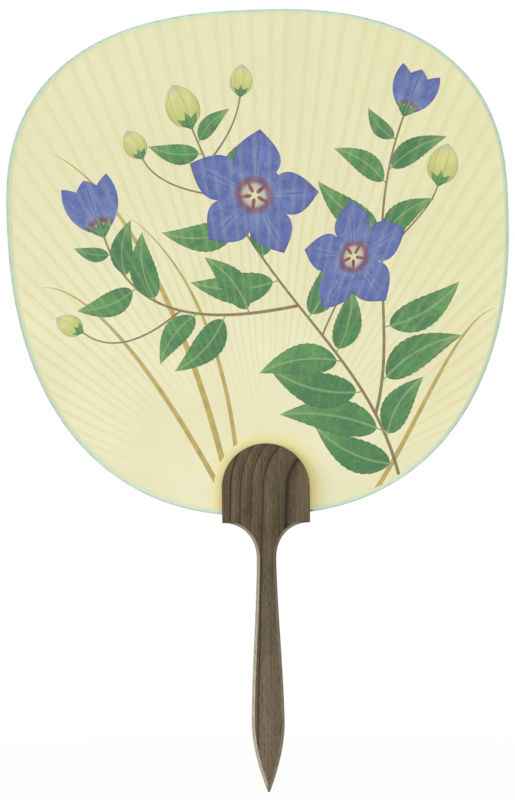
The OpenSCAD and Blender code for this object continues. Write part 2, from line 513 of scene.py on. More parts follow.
def leaf(base, heading, length, width, bow, tone):
    """A toothed leaf on a short stalk, bowed to one side."""
    side = []
    for k in range(LEAF_STEPS + 1):
        u = k / LEAF_STEPS
        blade = max(0.0, (u - LEAF_STALK) / (1 - LEAF_STALK))
        half = width / 2 * abs(math.sin(math.pi * blade ** LEAF_FULL)) ** 0.9
        tooth = 1 + LEAF_TOOTH * ((k % 6) - 3) / 3 if 0.2 < u < 0.9 else 1
        side.append((u * length, max(half * tooth, 0.3), bow * width / 2 * 4 * u * (1 - u)))
    left = [(x, z + lift) for x, z, lift in side]
    right = [(x, lift - z) for x, z, lift in side]
    outline = moved(left + right[::-1], base, heading)
    return motif(LEAF, outline, base, shares(heading, length, width / 2), tone, bow)


def petal_side():
    """The edge of a bellflower's lobe, from the notch beside it to its tip."""
    notch = (NOTCH * math.cos(LOBE_HALF), NOTCH * math.sin(LOBE_HALF))
    return curve_points([notch, (0.66, 0.45), (0.86, 0.17), (1, 0)], LOBE_STEPS)


def flower(centre, size, turn, squash, lean, tone):
    """An open bellflower of five lobes with its heart, tilted, so it is narrower across the lean."""
    def tilted(x, z, share):
        a, b = turned(x, z, -lean)
        return turned(a, b * share, lean)

    def laid(shape, heading, scale):
        spun = [turned(x * scale, z * scale, heading) for x, z in shape]
        return [(centre[0] + x, centre[1] + z) for x, z in (tilted(*p, squash) for p in spun)]

    cup_edge = [turned(NOTCH, 0, math.radians(15 * k)) for k in range(24)]
    shapes = [motif(PETAL, laid(cup_edge, turn, size), centre, shares(turn, size, size), tone)]
    for k in range(5):
        heading = turn + math.radians(72 * k + 3 * math.sin(7 * k + turn))
        length = size * (1 + 0.05 * math.sin(5 * k + 2 * turn))
        straight = shares(heading, length, length)
        side = petal_side()
        outline = [(0, 0)] + [(x, -z) for x, z in side] + side[-2::-1]
        shapes.append(motif(
            PETAL, laid(outline, heading, length), centre,
            lambda x, z, straight=straight: straight(*tilted(x, z, 1 / squash)),
            tone + 0.25 * math.sin(3 * k + turn),
        ))
    for k in range(5):
        heading = turn + math.radians(72 * k + 36)
        spoke = [(0.02, -0.02), (0.13, -0.03), (0.22, -0.015), (0.22, 0.015), (0.13, 0.03), (0.02, 0.02)]
        shapes.append(motif(ANTHER, laid(spoke, heading, size), centre, shares(heading, size, size), 0.5))
    star = [turned((0.12, 0.06, 0.045, 0.06)[k % 4], 0, math.radians(18 * k)) for k in range(20)]
    shapes.append(motif(HEART, laid(star, turn, size), centre, shares(turn, size, size), 0.5))
    return shapes


def cup(base, heading, size, tone):
    """A bellflower seen from its side, opening along the heading: two lobes behind and one before."""
    shapes = []
    for spread, reach, fullness in ((0.4, 0.98, 0.3), (-0.4, 0.98, 0.3), (0, 0.92, 0.4)):
        path = [(0, 0), (0.3, fullness), (0.72, fullness * 0.9), (reach, 0)]
        outline = mirrored([(x * size, z * size) for x, z in curve_points(path, BUD_STEPS)])
        aim = heading + spread
        deep = tone - 0.4 * (spread == 0)
        shapes.append(motif(PETAL, moved(outline, base, aim), base, shares(aim, size, size), deep))
    return shapes + sepals(base, heading, size * 0.3, tone)


def sepals(base, heading, size, tone):
    """Three small pointed leaves that hold a flower or a bud at its base."""
    side = [(-0.15, 0), (-0.1, 0.14), (0.45, 0.2), (1, 0)]
    outline = mirrored([(x * size, z * size) for x, z in side])
    return [motif(LEAF, moved(outline, base, aim), base, shares(aim, size, size / 3), tone)
            for aim in (heading - 0.75, heading + 0.75, heading)]


def bud(base, heading, size, tone):
    """A closed bud, blown up like a balloon, with its seams running to the tip."""
    path = [(0, 0), (0.05 * size, 0.48 * size), (0.76 * size, 0.5 * size), (size, 0)]
    outline = moved(mirrored(curve_points(path, BUD_STEPS)), base, heading)
    shape = motif(BUD, outline, base, shares(heading, size, size * 0.36), tone)
    return [shape] + sepals(base, heading, size * 0.36, tone)


def shoot(parent, place, *rest):
    """A stem that grows out of another one, as the handles of its curve."""
    return [curve_point(parent, place)[0], *rest]


MAIN_STEM = [(64, 9), (52, 78), (2, 96), (-30, 186)]
RIGHT_STEM = shoot(MAIN_STEM, 0.2, (66, 88), (48, 130), (72, 188))
LEFT_STEM = shoot(MAIN_STEM, 0.56, (-22, 92), (-62, 92), (-74, 136))
TWIGS = [
    shoot(MAIN_STEM, 0.46, (34, 96), (40, 104), (45, 119)),
    shoot(MAIN_STEM, 0.72, (-3, 134), (-2, 142), (-1, 150)),
    shoot(RIGHT_STEM, 0.55, (70, 134), (82, 140), (87, 154)),
    shoot(MAIN_STEM, 0.86, (-28, 154), (-48, 158), (-54, 172)),
    shoot(MAIN_STEM, 0.93, (-14, 178), (-8, 188), (-6, 200)),
    shoot(LEFT_STEM, 0.5, (-54, 86), (-72, 78), (-86, 90)),
]
BLADES = [
    ([(-20, 6), (-44, 56), (-78, 112), (-104, 112)], 2.4),
    ([(-18, 8), (-30, 80), (-62, 160), (-98, 176)], 2.8),
    ([(-14, 10), (-14, 66), (-30, 122), (-64, 146)], 2),
    ([(48, 4), (76, 44), (92, 88), (112, 94)], 2.2),
]
# Leaves, by the stem that they grow on: the place there, the side, length, width, bow and tone
LEAVES = [
    (MAIN_STEM, [
        (0.06, 1, 42, 16, 0.5, 0.3), (0.15, 1, 50, 17, -0.4, 0.6), (0.13, -1, 34, 14, -0.5, 0.45),
        (0.27, 1, 46, 17, 0.5, 0.15), (0.37, 1, 40, 15, -0.5, 0.75), (0.4, -1, 32, 13, 0.4, 0.35),
        (0.52, -1, 30, 13, 0.5, 0.6), (0.64, 1, 42, 15, 0.5, 0.5), (0.7, -1, 30, 12, -0.5, 0.2),
        (0.79, 1, 38, 14, 0.6, 0.8), (0.85, -1, 34, 12, -0.5, 0.4), (0.95, 1, 26, 10, 0.4, 0.65),
        (0.97, -1, 22, 8, -0.5, 0.9),
    ]),
    (RIGHT_STEM, [
        (0.12, -1, 44, 16, -0.5, 0.45), (0.32, -1, 42, 15, 0.5, 0.7), (0.42, 1, 30, 12, 0.4, 0.1),
        (0.62, -1, 32, 12, -0.6, 0.35), (0.66, 1, 38, 13, 0.5, 0.55), (0.8, 1, 30, 11, -0.5, 0.85),
        (0.84, -1, 32, 11, -0.5, 0.3), (0.93, 1, 20, 8, 0.5, 0.6),
    ]),
    (LEFT_STEM, [
        (0.2, -1, 34, 13, 0.5, 0.6), (0.3, 1, 36, 14, 0.5, 0.25), (0.42, 1, 30, 12, -0.5, 0.7),
        (0.62, -1, 34, 13, -0.5, 0.4), (0.74, 1, 30, 12, 0.5, 0.8), (0.8, -1, 28, 11, -0.6, 0.15),
        (0.92, 1, 18, 7, 0.4, 0.5),
    ]),
]
# Buds: the stem that each closes, its heading in degrees, its length and its tone
BUDS = [
    (MAIN_STEM, 112, 22, 0.35), (TWIGS[4], 84, 15, 0.2), (TWIGS[2], 74, 20, 0.6),
    (TWIGS[3], 118, 15, 0.3), (TWIGS[5], 150, 14, 0.25),
]
painting = [grass(path, width) for path, width in BLADES]
painting += [stem(path, 1.6, 0.9) for path in (MAIN_STEM, RIGHT_STEM, LEFT_STEM)]
painting += [stem(path, 1, 0.7) for path in TWIGS]
for path, leaves in LEAVES:
    for share, side, length, width, bow, tone in leaves:
        base, heading = curve_point(path, share)
        painting.append(leaf(base, heading + side * (0.7 + 0.5 * tone), length, width, bow * side, tone))
for path, heading, size, tone in BUDS:
    painting += bud(path[3], math.radians(heading), size, tone)
painting += cup(RIGHT_STEM[3], math.radians(66), 25, 0.45)
painting += cup(LEFT_STEM[3], math.radians(108), 30, 0.5)
painting += flower((45, 121), 29, math.radians(20), 0.84, math.radians(60), 0.35)
painting += flower((-1, 152), 33, math.radians(78), 0.92, math.radians(140), 0.6)


def painted_surface(place, colour, cover):
    """Lays a matt colour over the washi, thinner on its fibres and on the ridges."""
    ground, felt, line = washi_ground(place)
    worn = felt.step(0.5, 0.72) * 0.14 + line * 0.08
    surface(blend(cover - worn, ground, colour), 0.8, felt, FIBRE_RELIEF, 0.2, 0.1)


def spot_parts(place):
    """Where a point lies on its painted shape: along it, across it, and how far the shape bows."""
    return place.read("spot", "Vector").parts()


def petal_colour():
    made, place = new_material("petal_blue")
    along, across, _ = spot_parts(place)
    wash = stretched(place, 150, 150, 5, 0.6)
    grain = stretched(place, 700, 700, 3, 0.6)
    out = place.math("SQRT", along * along + across * across)
    angle = place.math("ARCTAN2", across, along)
    # How far the lobe's own edge lies from the middle of the flower, by the angle
    rim = [(math.atan2(z, x) / LOBE_HALF, math.hypot(x, z)) for x, z in reversed(petal_side()[::2])]
    edge = out / (abs(angle) / LOBE_HALF).ramp(rim)
    ripple = (grain - 0.5) * 0.08
    middle = abs(angle + ripple).step(0.03, 0.008) * out.step(0.95, 0.6)
    veins = place.math("PINGPONG", angle + ripple, 0.085).step(0.016, 0.002)
    veins = veins * out.step(0.9, 0.5) * out.step(0.2, 0.4)
    colour = coats(
        blend(out.step(0.2, 0.8), paint(116, 138, 190), paint(88, 110, 174)),
        (place.read("tone") * 0.5, (104, 116, 182)),
        (wash.step(0.42, 0.62) * 0.8, (78, 96, 162)),
        (out.step(0.78, 1.02) * 0.6, (104, 94, 162)),
        (angle.step(-0.03, 0.03) * out.step(0.2, 0.5) * 0.2, (76, 86, 152)),
        (abs(angle).step(0.16, 0.05) * out.step(1, 0.5) * 0.35, (132, 150, 196)),
        (middle * 0.55 + veins * 0.3, (66, 72, 142)),
        (edge.step(0.93, 0.99) * 0.45, (74, 78, 146)),
        (grain.step(0.5, 0.75) * 0.2, (138, 152, 196)),
        ((out.step(0.33, 0.24) + grain * 0.2 - 0.1) * 0.8, (122, 70, 92)),
        (out.step(0.22, 0.14) * 0.85, (200, 200, 182)),
    )
    painted_surface(place, colour, 0.97)
    return made


def leaf_colour():
    made, place = new_material("leaf_green")
    along, across, bow = spot_parts(place)
    wash = stretched(place, 110, 110, 5, 0.6)
    grain = stretched(place, 700, 700, 3, 0.6)
    from_rib = across - bow * 4 * along * (1 - along)
    blade = place.math("MAXIMUM", (along - LEAF_STALK) / (1 - LEAF_STALK), 0.001)
    half = place.math("SINE", place.math("POWER", blade, LEAF_FULL) * math.pi)
    edge = abs(from_rib) / place.math("MAXIMUM", half, 0.02)
    slant = along - abs(from_rib) * 0.16 + (grain - 0.5) * 0.02
    veins = place.math("PINGPONG", slant, 0.055).step(0.012, 0.002)
    colour = coats(
        blend(place.read("tone"), paint(54, 124, 74), paint(92, 156, 86)),
        (wash.step(0.42, 0.62) * 0.75, (60, 114, 78)),
        (along.step(0.5, 1) * 0.55, (128, 172, 102)),
        (along.step(0.35, 0) * 0.35, (70, 114, 78)),
        (from_rib.step(-0.03, 0.03) * 0.3, (52, 104, 74)),
        (veins * edge.step(0.95, 0.6) * 0.3, (56, 96, 72)),
        (abs(from_rib).step(0.09, 0.03) * 0.55, (148, 182, 122)),
        (edge.step(0.86, 0.98) * 0.4, (62, 100, 74)),
        (grain.step(0.5, 0.75) * 0.25, (124, 166, 118)),
    )
    painted_surface(place, colour, 0.96)
    return made


def bud_colour():
    made, place = new_material("bud_yellow_green")
    along, across, _ = spot_parts(place)
    wash = stretched(place, 160, 160, 3)
    swell = place.math("SQRT", place.math("MAXIMUM", along * (1 - along), 0.02)) * 2
    seam = place.math("PINGPONG", across / swell + 0.2, 0.4).step(0.05, 0.01)
    colour = coats(
        blend(along.step(0, 0.8), paint(184, 196, 112), paint(216, 214, 142)),
        (wash.step(0.4, 0.7) * 0.5, (200, 188, 124)),
        (along.step(0.72, 1) * 0.5, (150, 158, 186)),
        (seam * 0.5, (134, 150, 92)),
        ((abs(across) / swell).step(0.6, 1.1) * 0.5, (150, 164, 92)),
    )
    painted_surface(place, colour, 0.94)
    return made


def brushed_colour(name, first, second):
    made, place = new_material(name)
    wash = stretched(place, 200, 200, 4)
    painted_surface(place, blend(wash.step(0.35, 0.65), first, second), 0.95)
    return made


paints = [
    washi, petal_colour(), leaf_colour(),
    brushed_colour("stem_brown_green", paint(112, 132, 82), paint(142, 108, 80)),
    bud_colour(),
    brushed_colour("heart_pale", paint(226, 222, 180), paint(204, 200, 150)),
    brushed_colour("anther_maroon", paint(112, 58, 66), paint(140, 84, 78)),
    brushed_colour("grass_ochre", paint(196, 170, 98), paint(176, 156, 92)),
]
front_paper = pressed_sheet("front_paper_painted", paper_outline, -1, 0.0, paints, painting)
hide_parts("front_paper")
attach(front_paper, "root")

# Base papers: one arch of thin yellow paper on each side, pasted over the foot of the face
# before the handle goes on. Their margin shows as a ring round the head.
BASE_MARGIN = 3.8
BINDING_W = 2.2
PAPER_GAP = 0.05
MARGIN_STEPS = 72
FOOT_STEPS = 40


def to_face(x, z):
    """A place beside the upright handle, in millimetres, as a place on the leaning face."""
    return turned(x - FACE_SHIFT, z - fan_z, -FACE_LEAN)


def base_outline():
    """The arch round the head, closed below along the inner edge of the binding."""
    radius = head_w / 2 + BASE_MARGIN
    inset = BINDING_W + PAPER_GAP
    arch = [to_face(radius * math.cos(a), arch_z + radius * math.sin(a))
            for a in (math.pi * k / MARGIN_STEPS for k in range(MARGIN_STEPS + 1))]
    foot = []
    for k in range(FOOT_STEPS + 1):
        x, _ = to_face(radius * (2 * k / FOOT_STEPS - 1), fan_z)
        across = abs(x) / (FACE_W / 2 - inset)
        drop = (1 - across ** FACE_LOW_SQUARE) ** (1 / FACE_LOW_SQUARE)
        foot.append((x, FACE_RISE - (FACE_LOW_H - inset) * drop))
    return arch + foot


def base_paper():
    made, place = new_material("base_paper_yellow")
    x, _, z = place.parts()
    right = x.step(-12 * MM, 18 * MM)
    out = beyond_head(place).step(1 * MM, BASE_MARGIN * MM)
    clouds = stretched(place, 70, 70, 3)
    fibres = stretched(place, 700, 500, 5, 0.7)
    low = (z - arch_z * MM).step(14 * MM, -12 * MM)
    colour = coats(
        blend(low, paint(239, 230, 172), paint(235, 221, 154)),
        (right * 0.6, (238, 222, 142)),
        (clouds.step(0.3, 0.7) * 0.5, (236, 222, 152)),
        (out * (0.75 - right * 0.35), (240, 231, 178)),
        (fibres.step(0.5, 0.75) * 0.3, (243, 236, 190)),
    )
    surface(colour, 0.8, fibres, FIBRE_RELIEF, 0.25, 0.1)
    return made


yellow = base_paper()
for name, side in (("front_base_paper", -1), ("back_base_paper", 1)):
    piece = pressed_sheet(name + "_arch", base_outline(), side, PAPER_T, [yellow])
    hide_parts(name)
    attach(piece, "root")

# Rim binding: a strip of thin mint paper, folded over the edge of the face and pasted down
# on both sides. It is drawn round the curve, so it puckers a little, and it dips between ribs.
BINDING_END_GAP = 0.1
PATH_STEPS = 900
STRIP_STEPS = 1800
FOLD_STEPS = 25
# Shares of half the strip's width, from the fold: the part on the cut edge, and where it lies flat
EDGE_SHARE = 0.04
FLAT_SHARE = 0.12
EDGE_CLEAR = 0.02 * MM
PUCKER = 0.02 * MM
PUCKERS_PER_M = 420.0
PUCKER_START = (0.013, 0.0, 0.007)


def strip_path():
    """The edge of the face from the handle's right side round to its left, as a line of places."""
    stop = (head_w / 2 + BINDING_END_GAP) * MM
    lowest = -math.pi / 2
    right, left = (
        last_inside(1.0, lambda a: abs(on_face(*edge_point(lowest + side * a, 0.0), 0.0)[0]) <= stop)
        for side in (1, -1)
    )
    first, turn = lowest + right, 2 * math.pi - left - right
    return [edge_point(first + turn * k / PATH_STEPS, 0.0) for k in range(PATH_STEPS + 1)]


def strip_tree():
    """Nodes that bend a flat grid round a curve: X of the grid runs along it, Y over the fold."""
    tree = bpy.data.node_groups.new("folded_strip", "GeometryNodeTree")
    kinds = {
        "Geometry": "Geometry", "Width": "Float", "Pucker": "Float", "Material": "Material",
        "Steps along": "Int", "Steps over": "Int",
    }
    for name, kind in kinds.items():
        tree.interface.new_socket(name, in_out="INPUT", socket_type="NodeSocket" + kind)
    tree.interface.new_socket("Geometry", in_out="OUTPUT", socket_type="NodeSocketGeometry")
    start = Wire(tree)
    given = dict(zip(kinds, start.node("NodeGroupInput").outs(*kinds)))
    path = start.node("GeometryNodeMeshToCurve", {0: given["Geometry"]})
    sizes = {"Vertices X": given["Steps along"], "Vertices Y": given["Steps over"]}
    grid = start.node("GeometryNodeMeshGrid", {"Size X": 1.0, "Size Y": 1.0, **sizes})
    along, over, _ = start.node("GeometryNodeInputPosition").parts()
    along, over = along + 0.5, over * 2.0
    rise = start.node("GeometryNodeInputNamedAttribute", {"Name": "rise"}, data_type="FLOAT")
    curve = {"Curves": path, "Value": rise, "Factor": along}
    by_share = {"mode": "FACTOR", "data_type": "FLOAT", "use_all_curves": True}
    sampled = start.node("GeometryNodeSampleCurve", curve, **by_share)
    rise, spot, tangent = sampled.outs("Value", "Position", "Tangent")
    # Over runs from the back to the front, so that the faces of the grid point outwards
    side = start.math("SIGN", over * -1.0)
    inward = start.vector("CROSS_PRODUCT", tangent, (0.0, 1.0, 0.0))
    noise_in = start.vector("ADD", spot, PUCKER_START)
    noise = {"Vector": noise_in, "Scale": PUCKERS_PER_M, "Detail": 2.0}
    wave = (start.node("ShaderNodeTexNoise", noise) - 0.5) * given["Pucker"]
    out_y = (rise + wave) * abs(over).step(0, FLAT_SHARE) * side
    depth = start.math("MAXIMUM", abs(over) - EDGE_SHARE, 0.0) * given["Width"] + wave * 0.5 + EDGE_CLEAR
    inset = start.node("ShaderNodeVectorMath", {0: inward, "Scale": depth}, operation="SCALE")
    lift = start.node("ShaderNodeCombineXYZ", {1: out_y})
    final = start.vector("ADD", start.vector("ADD", spot, inset), lift)
    strip = grid
    for name, value in (("over", over), ("rise", rise)):
        noted = {"Geometry": strip, "Name": name, "Value": value}
        strip = start.node("GeometryNodeStoreNamedAttribute", noted, data_type="FLOAT", domain="POINT")
    strip = start.node("GeometryNodeSetPosition", {"Geometry": strip, "Position": final})
    strip = start.node("GeometryNodeRealizeInstances", {"Geometry": strip})
    strip = start.node("GeometryNodeSetMaterial", {"Geometry": strip, "Material": given["Material"]})
    start.node("NodeGroupOutput", {"Geometry": strip})
    return tree


def made_plain(name, source):
    """The result of an object's modifiers as a plain mesh object. The source is deleted."""
    shown = source.evaluated_get(bpy.context.evaluated_depsgraph_get())
    mesh = bpy.data.meshes.new_from_object(shown)
    mesh.name = name
    bpy.data.objects.remove(source)
    return placed(name, mesh)


def binding_colour():
    made, place = new_material("mint_strip")
    over = abs(place.read("over"))
    x, _, z = place.parts()
    clouds = stretched(place, 90, 90, 4)
    fibres = stretched(place, 900, 700, 4, 0.7)
    worn = over + (clouds - 0.5) * 0.5
    # Painted shadow of the head: the end of the strip on the right of the handle is darkened
    handle_shadow = x.step(22.8 * MM, 21.6 * MM) * x.step(20 * MM, 20.5 * MM) * z.step(90 * MM, 86 * MM)
    over_rib = place.read("rise").step(0.51 * MM, 0.545 * MM) * over.step(0.5, 0.1)
    colour = coats(
        blend(worn.step(0.1, 0.45), paint(174, 206, 188), paint(203, 222, 192)),
        (worn.step(0.45, 1), (219, 229, 188)),
        # Painted shade: the strip darker along the left and right sides of the face
        (abs(x).step(60 * MM, 115 * MM) * over.step(1.3, 0.3) * 0.5, (172, 190, 166)),
        # Painted light: the strip paler along the bottom of the face
        (z.step(125 * MM, 85 * MM) * 0.5, (218, 232, 208)),
        # Painted shadow beside the handle's head
        (handle_shadow * over.step(0.7, 0.35) * 0.9, (64, 84, 72)),
        (over_rib * 0.5, (138, 182, 158)),
        (fibres.step(0.5, 0.7) * 0.3, (222, 234, 212)),
    )
    surface(colour, 0.75, fibres, 0.04 * MM, 0.25, 0.1)
    return made


def rim_strip():
    places = strip_path()
    links = [(k, k + 1) for k in range(len(places) - 1)]
    mesh = bpy.data.meshes.new("strip_path")
    mesh.from_pydata([on_face(x, z, 0.0) for x, z in places], links, [])
    note(mesh, "rise", [(paper_height(x, z) + BINDING_T) * MM for x, z in places])
    source = placed("strip_path", mesh)
    tree = strip_tree()
    modifier = source.modifiers.new("fold", "NODES")
    modifier.node_group = tree
    names = {item.name: item.identifier for item in tree.interface.items_tree if item.in_out == "INPUT"}
    modifier[names["Width"]] = BINDING_W * MM
    modifier[names["Pucker"]] = PUCKER
    modifier[names["Material"]] = binding_colour()
    modifier[names["Steps along"]] = STRIP_STEPS
    modifier[names["Steps over"]] = FOLD_STEPS
    wall = source.modifiers.new("paper_thickness", "SOLIDIFY")
    wall.thickness = BINDING_T * MM
    wall.offset = -1.0
    wall.use_even_offset = True
    return made_plain("rim_strip_folded", source)


rim = rim_strip()
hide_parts("rim_binding")
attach(rim, "root")

# Handle: one board of dark brushed cedar. Its arched head is sawn open to grip the foot of
# the face, thinned towards the arch, hollowed at the shoulders, and bevelled down to a point.
ARCH_T = 4.2
HANDLE_T = 7.0
SLOT_CLEAR = 0.05
SLOT_FLOOR_GAP = 0.6
SHOULDER_H = 17.2
SHOULDER_POWER = 2.15
EDGE_BREAK = 0.3
NECK_W = 9.3
SHAFT_W = 15.8
SHAFT_LEN = 78.4
POINT_LEN = 33.0
POINT_POWER = 1.75
TIP_W = 0.9
CORNER_BEVEL = 1.1
NECK_BEVEL = 1.4
WIDE_BEVEL = 1.5
BEVEL_D = 1.5
POINT_BEVEL_SHARE = 0.75
SMOOTH_SHARE = 0.7
ROUNDING = 0.22
MOST_ROUNDED = 0.4
POINT_STEPS = 24
SHAFT_STEPS = 36
SHOULDER_STEPS = 28
SIDE_STEPS = 6
ARCH_STEPS = 48
ARCH_END = math.radians(88.5)
SHARP = math.radians(24)
# The grain, in millimetres: where its rings have their pith, and where the dark lines cross the
# front of the head, from the right to the left
PITH = (33.8, -196.5)
GROWTH_LINES = (9.3, -2.0, -7.6, -12.5, -17.0)
GRAIN_LEAN = 0.0290
# How dark each year's wood is, outwards: a sharp dark line, even wood, pale wood, and darker again
YEAR = [
    (0, 1), (0.05, 0.42), (0.3, 0.4), (0.55, 0.25),
    (0.72, 0.05), (0.86, 0.15), (0.95, 0.4), (1, 1),
]
tip_z = handle_low.z / MM
wide_z = tip_z + POINT_LEN
neck_z = wide_z + SHAFT_LEN


def lower_edge():
    """The right edge from the tip up to the corner of the head: across, up, and the bevel's width."""
    points = []
    for k in range(POINT_STEPS):
        u = 1 - k / POINT_STEPS
        x = TIP_W / 2 + (SHAFT_W - TIP_W) / 2 * (1 - u ** POINT_POWER)
        points.append((x, wide_z - POINT_LEN * u, min(WIDE_BEVEL, x * POINT_BEVEL_SHARE)))
    for k in range(SHAFT_STEPS):
        v = k / SHAFT_STEPS
        share = SMOOTH_SHARE * (3 * v * v - 2 * v ** 3) + (1 - SMOOTH_SHARE) * v
        width = SHAFT_W + (NECK_W - SHAFT_W) * share
        points.append((width / 2, wide_z + SHAFT_LEN * v, WIDE_BEVEL + (NECK_BEVEL - WIDE_BEVEL) * share))
    for k in range(SHOULDER_STEPS + 1):
        s = k / SHOULDER_STEPS
        a = math.pi / 2 * s
        power = 2 / SHOULDER_POWER
        x = head_w / 2 - (head_w - NECK_W) / 2 * abs(math.cos(a)) ** power
        z = neck_z + SHOULDER_H * math.sin(a) ** power
        points.append((x, z, NECK_BEVEL + (CORNER_BEVEL - NECK_BEVEL) * s))
    return points


def upper_edge():
    """The right edge of the head, from its corner to the top of the arch."""
    rise = (arch_z - corner_z) / SIDE_STEPS
    side = [(head_w / 2, corner_z + rise * k, EDGE_BREAK) for k in range(1, SIDE_STEPS)]
    turns = [ARCH_END * k / ARCH_STEPS for k in range(ARCH_STEPS + 1)]
    arch = [(head_w / 2 * math.cos(a), arch_z + head_w / 2 * math.sin(a), EDGE_BREAK) for a in turns]
    return side + arch


def drawn_in(edge, k):
    """The inner side of the bevel at a point of the edge."""
    before, after = edge[max(k - 1, 0)], edge[min(k + 1, len(edge) - 1)]
    dx, dz = after[0] - before[0], after[1] - before[1]
    long = math.hypot(dx, dz)
    x, z, bevel = edge[k]
    return x - bevel * dz / long, z + bevel * dx / long


def half_thick(z):
    s = max(0.0, (z - arch_z) / (head_w / 2))
    return (HANDLE_T - (HANDLE_T - ARCH_T) * s * s) / 2


def rounded(ring, radius):
    """Each corner of a ring of points becomes a short arc of three."""
    points = []
    for k, corner in enumerate(ring):
        before, after = ring[k - 1], ring[(k + 1) % len(ring)]
        near = []
        for other in (before, after):
            away = other - corner
            near.append(corner + away * min(radius / max(away.length, 1e-9), MOST_ROUNDED))
        middle = (near[0] + near[1]) * 0.25 + corner * 0.5
        points += [near[0], middle, near[1]]
    return points


def handle_mesh():
    lower, upper = lower_edge(), upper_edge()
    edge = lower + upper
    corner = len(lower) - 1
    rings = []
    for k, (x, z, _) in enumerate(edge):
        if k == corner:
            fx, fz = x - EDGE_BREAK, z + CORNER_BEVEL
        elif k < corner:
            fx, fz = drawn_in(lower, k)
        else:
            fx, fz = drawn_in(upper, k - corner - 1)
        t, side = half_thick(fz), half_thick(z) - (BEVEL_D if k <= corner else EDGE_BREAK)
        ring = [(-fx, -t, fz), (fx, -t, fz), (x, -side, z), (x, side, z),
                (fx, t, fz), (-fx, t, fz), (-x, side, z), (-x, -side, z)]
        rings.append(rounded([Vector(p) * MM for p in ring], ROUNDING * MM))
    count = len(rings[0])
    points = [p for ring in rings for p in ring]
    top = len(points) - count
    faces = []
    # Both ends are closed by narrow strips that run from the right side to the left one
    for k in range(count // 2 - 1):
        strip = [3 + k, 4 + k, (1 - k) % count, (2 - k) % count]
        faces += [strip, [top + v for v in reversed(strip)]]
    for k in range(len(rings) - 1):
        for j in range(count):
            a, b = k * count + j, k * count + (j + 1) % count
            faces.append((a, a + count, b + count, b))
    mesh = bpy.data.meshes.new("cedar_board")
    mesh.from_pydata(points, [], faces)
    return mesh


def cedar():
    """Brushed cedar. Its growth rings are wide arcs round a pith far in front and to the right."""
    made, place = new_material("brushed_cedar")
    x, y, z = place.parts()
    _, facing, _ = place.node("ShaderNodeNewGeometry", out="True Normal").parts()
    sway = stretched(place, 40, 16, 3)
    ragged = stretched(place, 900, 500, 3)
    across = x - (z - corner_z * MM) * GRAIN_LEAN + (sway - 0.5) * (1.2 * MM) + (ragged - 0.5) * (0.2 * MM)
    from_x, from_y = across - PITH[0] * MM, y - PITH[1] * MM
    ring = place.math("SQRT", from_x * from_x + from_y * from_y)
    radii = [math.hypot(line - PITH[0], HANDLE_T / 2 + PITH[1]) * MM for line in GROWTH_LINES]
    near, far = radii[0] - 9 * MM, radii[-1] + 18 * MM
    years = [(near, 0), *zip(radii, (2, 3, 4, 5, 6)), (far, 10)]
    stops = [((r - near) / (far - near), n / 10) for r, n in years]
    dark = place.math("FRACT", ((ring - near) / (far - near)).ramp(stops) * 10).ramp(YEAR)
    patches = stretched(place, 160, 60, 3)
    streaks = stretched(place, 1800, 26, 4, 0.6)
    fibres = stretched(place, 2600, 300, 4, 0.7)
    grain = stretched(place, 3000, 1500, 3, 0.7)
    rough_sawn = streaks * 0.3 + fibres * 0.4 + grain * 0.3
    # The wood is paler towards the foot of the handle, and more so on its right side
    worn = z.step(75 * MM, -40 * MM)
    strength = worn * 0.35 + 0.5
    colour = coats(
        blend(patches.step(0.35, 0.65), paint(85, 74, 53), paint(103, 90, 66)),
        (abs(x).step(11 * MM, 17 * MM) * 0.25, (134, 119, 94)),
        (worn * 0.48 + worn * x.step(-2 * MM, 5 * MM) * 0.35, (142, 127, 104)),
        (rough_sawn.step(0.5, 0.4) * strength, (144, 127, 99)),
        (rough_sawn.step(0.5, 0.6) * strength, (52, 41, 28)),
        (dark.step(0, 1) * 0.9, (36, 25, 14)),
    )
    # The bevels below the head were planed after the brushing and are paler than the brushed faces. A
    # painted highlight makes them paler still on the left, towards the window light, and just below the
    # shoulders
    tilt = abs(facing)
    below_head = z.step((corner_z + 0.6) * MM, (corner_z - 0.6) * MM)
    planed = tilt.step(0.5, 0.62) * tilt.step(0.9, 0.8) * below_head
    bare = blend(worn, paint(150, 142, 120), paint(178, 171, 152))
    bare = blend(fibres.step(0.45, 0.65) * 0.8, bare, paint(118, 109, 88))
    near_corner = z.step((corner_z - 10) * MM, (corner_z - 4) * MM)
    # Painted highlight: paler on the left bevels, which face the window light, and just below the shoulder
    # corners
    bevel_highlight = place.math("MAXIMUM", x.step(1 * MM, -1 * MM), near_corner)
    colour = blend(planed * (bevel_highlight * 0.6 + 0.25), colour, bare)
    height = (rough_sawn * -0.8 - dark * 0.4) * (1 - planed * 0.8)
    surface(colour, 0.62 - planed * 0.2, height, 0.12 * MM, 0.18)
    return made


